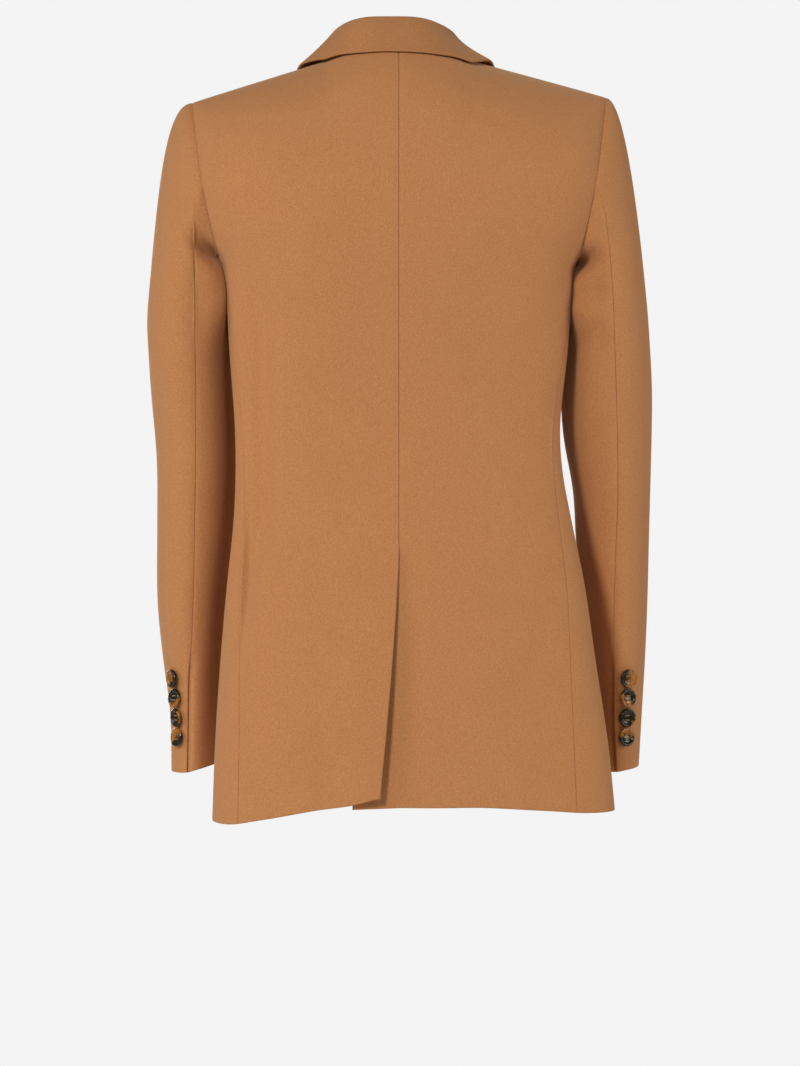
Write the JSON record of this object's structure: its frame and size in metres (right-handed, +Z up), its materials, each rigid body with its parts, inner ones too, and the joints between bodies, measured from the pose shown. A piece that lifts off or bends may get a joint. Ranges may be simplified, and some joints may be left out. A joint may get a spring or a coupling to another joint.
{
  "type": "double-breasted wool coat",
  "caption": "Hip-length double-breasted wool coat in its worn, hollow form, with turned-down collar, peaked lapels, two-piece sleeves with buttoned cuffs and a centre-back vent",
  "frame": {"origin": "centre of the neck opening, level with the neck points of the shoulder seams", "axes": "+Z up, the fronts face -Y, +X is the wearer's left"},
  "size_m": [0.4868, 0.2653, 0.7652],
  "materials": {
    "wool": "camel felted wool coating with a short soft nap",
    "button": "glossy mottled tortoiseshell"
  },
  "bodies": {
    "root": {"back_left": "wool", "side_left": "wool", "front_left": "wool", "lapel_left": "wool", "sleeve_upper_left": "wool", "sleeve_under_left": "wool", "back_right": "wool", "side_right": "wool", "front_right": "wool", "lapel_right": "wool", "sleeve_upper_right": "wool", "sleeve_under_right": "wool", "collar_fall": "wool", "collar_stand": "wool", "cuff_button_left_1": "button", "cuff_button_left_2": "button", "cuff_button_left_3": "button", "cuff_button_left_4": "button", "cuff_button_right_1": "button", "cuff_button_right_2": "button", "cuff_button_right_3": "button", "cuff_button_right_4": "button", "front_button_left_1": "button", "front_button_left_2": "button", "front_button_right_1": "button", "front_button_right_2": "button"}
  },
  "joints": []
}
